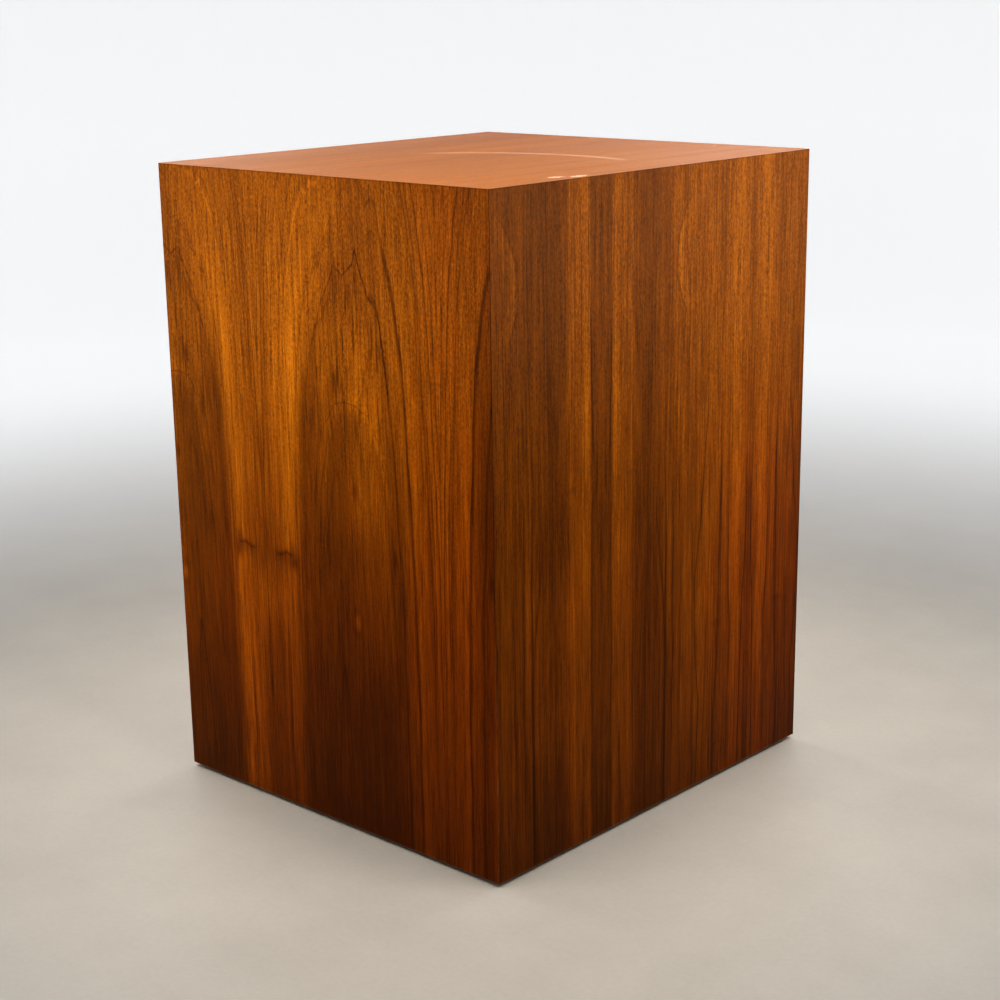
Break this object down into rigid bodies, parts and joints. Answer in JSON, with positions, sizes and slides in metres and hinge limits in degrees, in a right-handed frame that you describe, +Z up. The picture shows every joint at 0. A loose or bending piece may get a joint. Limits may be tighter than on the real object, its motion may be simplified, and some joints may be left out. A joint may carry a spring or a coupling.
{
  "type": "display plinth",
  "caption": "Free-standing rectangular display plinth: mitred veneered box, open underneath, with a glued and screwed inner frame and adjustable levelling feet.",
  "frame": {"origin": "on the floor, at the centre of the footprint", "axes": "+Z up; front panel faces -Y, right-hand panel faces +X"},
  "size_m": [0.485, 0.525, 0.7],
  "materials": {
    "walnut_veneer": "book-matched crown-cut walnut, satin lacquer",
    "plywood_core": "birch plywood, sawn edges showing the plies",
    "walnut_backing": "plain walnut backing veneer, sanded, unfinished",
    "beech_spline": "beech, planed",
    "softwood": "planed pine, unfinished",
    "beech_block": "beech, planed, unfinished",
    "zinc_plated_steel": "bright zinc plate",
    "screw_steel": "yellow zinc plate",
    "black_nylon": "moulded black nylon, fine texture"
  },
  "bodies": {
    "plinth": {"top_veneer": "walnut_veneer", "top_core": "plywood_core", "top_backing": "walnut_backing", "front_veneer": "walnut_veneer", "front_core": "plywood_core", "front_backing": "walnut_backing", "back_veneer": "walnut_veneer", "back_core": "plywood_core", "back_backing": "walnut_backing", "left_veneer": "walnut_veneer", "left_core": "plywood_core", "left_backing": "walnut_backing", "right_veneer": "walnut_veneer", "right_core": "plywood_core", "right_backing": "walnut_backing", "top_spline_front": "beech_spline", "top_cleat_front": "softwood", "base_rail_front": "softwood", "top_spline_back": "beech_spline", "top_cleat_back": "softwood", "base_rail_back": "softwood", "top_spline_left": "beech_spline", "top_cleat_left": "softwood", "base_rail_left": "softwood", "top_spline_right": "beech_spline", "top_cleat_right": "softwood", "base_rail_right": "softwood", "corner_spline_front_left": "beech_spline", "corner_block_front_left": "softwood", "foot_block_front_left": "beech_block", "tee_nut_front_left": "zinc_plated_steel", "corner_spline_front_right": "beech_spline", "corner_block_front_right": "softwood", "foot_block_front_right": "beech_block", "tee_nut_front_right": "zinc_plated_steel", "corner_spline_back_right": "beech_spline", "corner_block_back_right": "softwood", "foot_block_back_right": "beech_block", "tee_nut_back_right": "zinc_plated_steel", "corner_spline_back_left": "beech_spline", "corner_block_back_left": "softwood", "foot_block_back_left": "beech_block", "tee_nut_back_left": "zinc_plated_steel", "base_rail_screws": "screw_steel", "top_cleat_screws": "screw_steel", "foot_block_screws": "screw_steel"},
    "pad_front_left": {"leveller_pad_front_left": "black_nylon"},
    "stud_front_left": {"leveller_stud_front_left": "zinc_plated_steel"},
    "pad_front_right": {"leveller_pad_front_right": "black_nylon"},
    "stud_front_right": {"leveller_stud_front_right": "zinc_plated_steel"},
    "pad_back_right": {"leveller_pad_back_right": "black_nylon"},
    "stud_back_right": {"leveller_stud_back_right": "zinc_plated_steel"},
    "pad_back_left": {"leveller_pad_back_left": "black_nylon"},
    "stud_back_left": {"leveller_stud_back_left": "zinc_plated_steel"}
  },
  "joints": [
    {"name": "leveller_travel_front_left", "type": "slide", "parent": "plinth", "child": "pad_front_left", "axis": [0, 0, -1], "range_m": [-0.0043, 0.0142]},
    {"name": "leveller_turn_front_left", "type": "hinge", "parent": "pad_front_left", "child": "stud_front_left", "pos_m": [-0.1765, -0.1965, 0], "axis": [0, 0, -1], "range_deg": [-1080, 3600]},
    {"name": "leveller_travel_front_right", "type": "slide", "parent": "plinth", "child": "pad_front_right", "axis": [0, 0, -1], "range_m": [-0.0043, 0.0142]},
    {"name": "leveller_turn_front_right", "type": "hinge", "parent": "pad_front_right", "child": "stud_front_right", "pos_m": [0.1765, -0.1965, 0], "axis": [0, 0, -1], "range_deg": [-1080, 3600]},
    {"name": "leveller_travel_back_right", "type": "slide", "parent": "plinth", "child": "pad_back_right", "axis": [0, 0, -1], "range_m": [-0.0043, 0.0142]},
    {"name": "leveller_turn_back_right", "type": "hinge", "parent": "pad_back_right", "child": "stud_back_right", "pos_m": [0.1765, 0.1965, 0], "axis": [0, 0, -1], "range_deg": [-1080, 3600]},
    {"name": "leveller_travel_back_left", "type": "slide", "parent": "plinth", "child": "pad_back_left", "axis": [0, 0, -1], "range_m": [-0.0043, 0.0142]},
    {"name": "leveller_turn_back_left", "type": "hinge", "parent": "pad_back_left", "child": "stud_back_left", "pos_m": [-0.1765, 0.1965, 0], "axis": [0, 0, -1], "range_deg": [-1080, 3600]}
  ],
  "couplings": [
    {"joint": "leveller_travel_front_left", "follows": "leveller_turn_front_left", "m_per_rad": 0.00022459},
    {"joint": "leveller_travel_front_right", "follows": "leveller_turn_front_right", "m_per_rad": 0.00022459},
    {"joint": "leveller_travel_back_right", "follows": "leveller_turn_back_right", "m_per_rad": 0.00022459},
    {"joint": "leveller_travel_back_left", "follows": "leveller_turn_back_left", "m_per_rad": 0.00022459}
  ]
}
